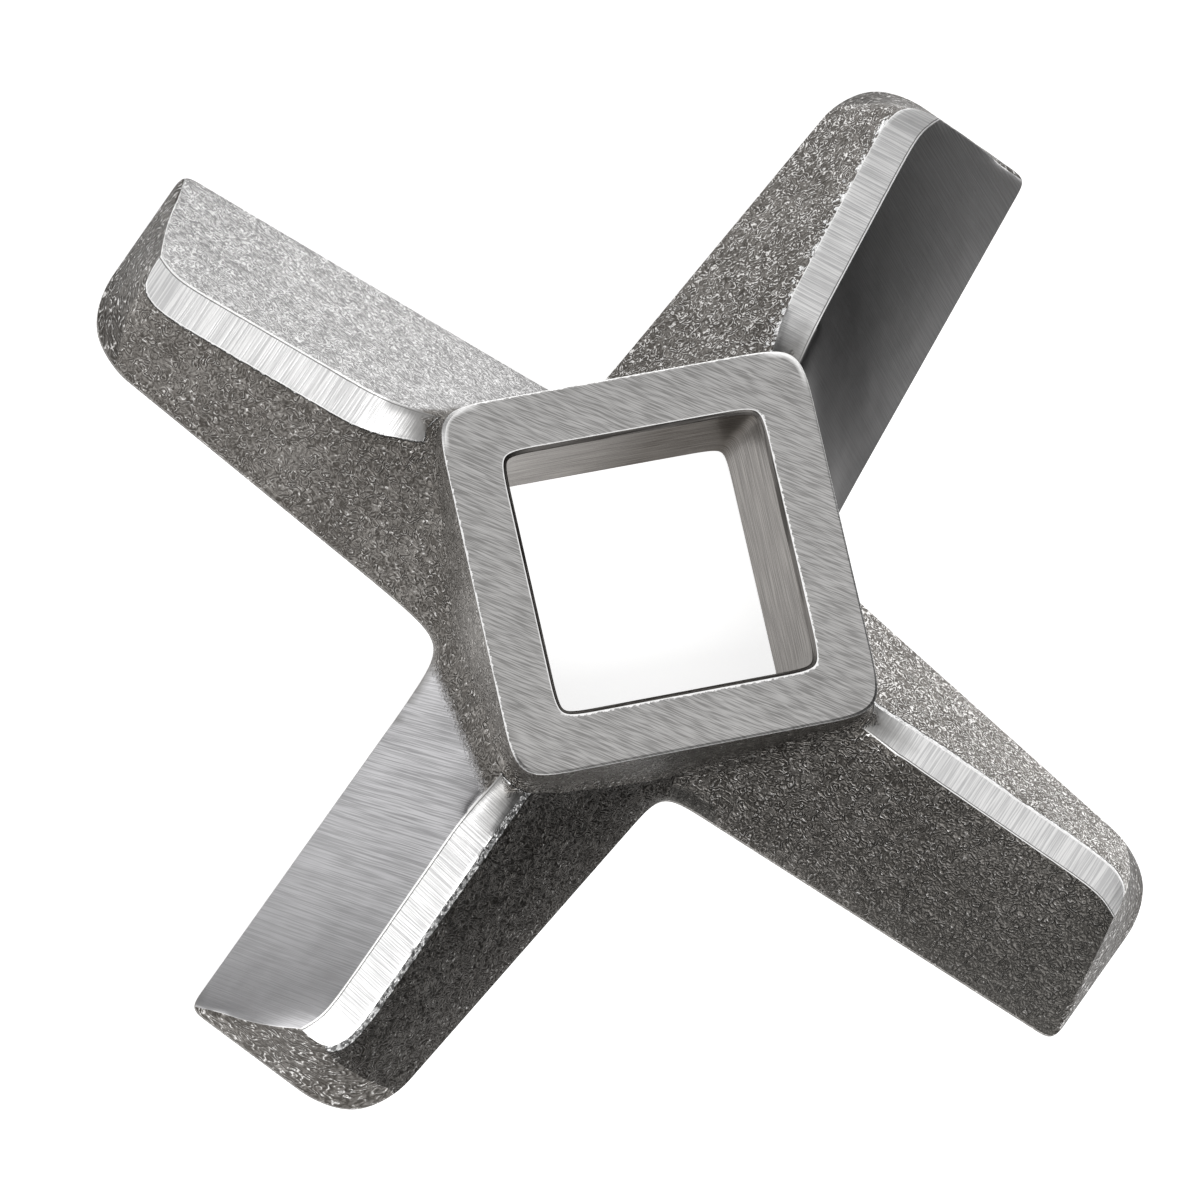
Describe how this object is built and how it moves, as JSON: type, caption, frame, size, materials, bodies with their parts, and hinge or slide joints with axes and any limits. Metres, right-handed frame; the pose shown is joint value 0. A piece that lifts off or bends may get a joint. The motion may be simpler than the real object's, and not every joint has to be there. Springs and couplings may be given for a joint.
{
  "type": "meat grinder knife",
  "caption": "Cross-shaped meat grinder knife with a square hub, a square bore and tapered wings, lying on its flat cutting face.",
  "frame": {"origin": "on the hub's axis at the level of the flat cutting face; the bounding box's bottom centre is within 0.5 mm of it", "axes": "+Z along the bore, out of the hub's top face; the hub's sides run along X and Y"},
  "size_m": [0.0503, 0.0501, 0.0082],
  "materials": {
    "ground_cast_steel": "cast satin, with ground and brushed faces"
  },
  "bodies": {
    "root": {"grinder_knife": "ground_cast_steel"}
  },
  "joints": []
}
